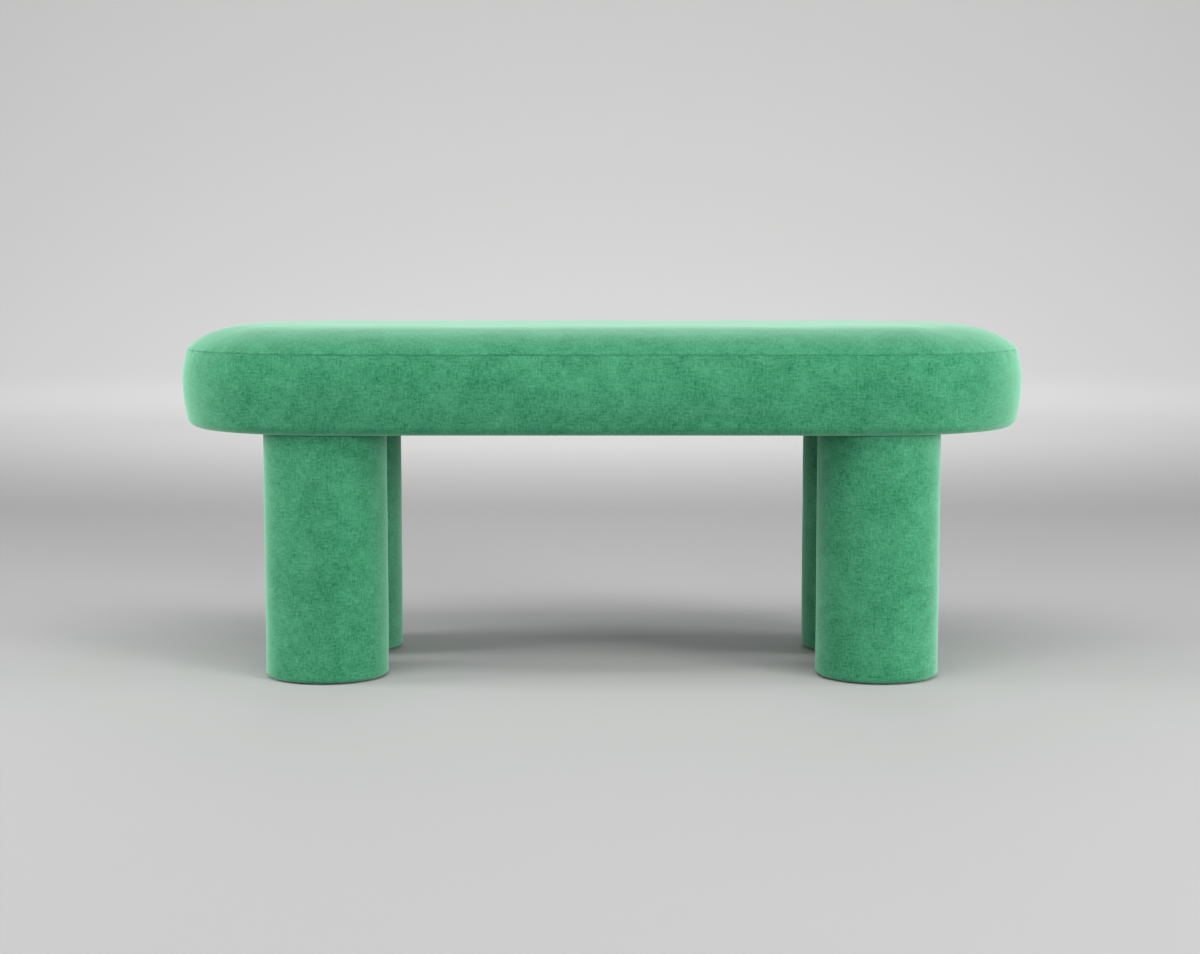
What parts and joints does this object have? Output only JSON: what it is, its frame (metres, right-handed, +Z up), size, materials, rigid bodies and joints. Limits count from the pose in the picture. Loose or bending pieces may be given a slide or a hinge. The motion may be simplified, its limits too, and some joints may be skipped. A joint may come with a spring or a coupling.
{
  "type": "upholstered bench",
  "caption": "Backless upholstered bench: padded seat with fully rounded ends and a seamed top, on fabric-covered drum legs.",
  "frame": {"origin": "on the floor under the middle of the seat", "axes": "+X along the seat's length, +Y from the front to the rear, +Z up"},
  "size_m": [1.2, 0.44, 0.489],
  "materials": {
    "green_velvet": "emerald green velvet-like upholstery cloth with a slubbed, crushed pile",
    "upholstery_foam": "open-cell polyurethane foam, pale yellow",
    "wadding": "bonded polyester wadding, white",
    "dust_cloth": "black spun-bonded non-woven cloth",
    "frame_plywood": "birch plywood, unfinished",
    "frame_softwood": "planed softwood, unfinished",
    "pressed_paper_tube": "spirally wound pressed-paper tube",
    "zinc_steel": "zinc-plated steel",
    "glide_plastic": "black moulded plastic"
  },
  "bodies": {
    "root": {"cover_staples": "zinc_steel", "deck_screws": "zinc_steel", "dust_cover": "dust_cloth", "dust_cover_staples": "zinc_steel", "end_skin_left": "frame_plywood", "end_skin_right": "frame_plywood", "glide_screws": "zinc_steel", "leg_block_front_left": "frame_softwood", "leg_block_front_right": "frame_softwood", "leg_block_rear_left": "frame_softwood", "leg_block_rear_right": "frame_softwood", "leg_bolts": "zinc_steel", "leg_front_left_base_cover": "dust_cloth", "leg_front_left_base_disc": "frame_plywood", "leg_front_left_padding": "wadding", "leg_front_left_sleeve": "green_velvet", "leg_front_left_top_disc": "frame_plywood", "leg_front_left_tube": "pressed_paper_tube", "leg_front_right_base_cover": "dust_cloth", "leg_front_right_base_disc": "frame_plywood", "leg_front_right_padding": "wadding", "leg_front_right_sleeve": "green_velvet", "leg_front_right_top_disc": "frame_plywood", "leg_front_right_tube": "pressed_paper_tube", "leg_glides": "glide_plastic", "leg_inserts": "zinc_steel", "leg_rear_left_base_cover": "dust_cloth", "leg_rear_left_base_disc": "frame_plywood", "leg_rear_left_padding": "wadding", "leg_rear_left_sleeve": "green_velvet", "leg_rear_left_top_disc": "frame_plywood", "leg_rear_left_tube": "pressed_paper_tube", "leg_rear_right_base_cover": "dust_cloth", "leg_rear_right_base_disc": "frame_plywood", "leg_rear_right_padding": "wadding", "leg_rear_right_sleeve": "green_velvet", "leg_rear_right_top_disc": "frame_plywood", "leg_rear_right_tube": "pressed_paper_tube", "leg_staples": "zinc_steel", "rail_front": "frame_softwood", "rail_rear": "frame_softwood", "rib_left_inner": "frame_softwood", "rib_left_outer": "frame_softwood", "rib_right_inner": "frame_softwood", "rib_right_outer": "frame_softwood", "seat_band_cover": "green_velvet", "seat_deck": "frame_plywood", "seat_foam": "upholstery_foam", "seat_top_cover": "green_velvet", "seat_underboard": "frame_plywood", "seat_wadding": "wadding", "side_foam_front": "upholstery_foam", "side_foam_left": "upholstery_foam", "side_foam_rear": "upholstery_foam", "side_foam_right": "upholstery_foam", "underboard_screws": "zinc_steel"}
  },
  "joints": []
}
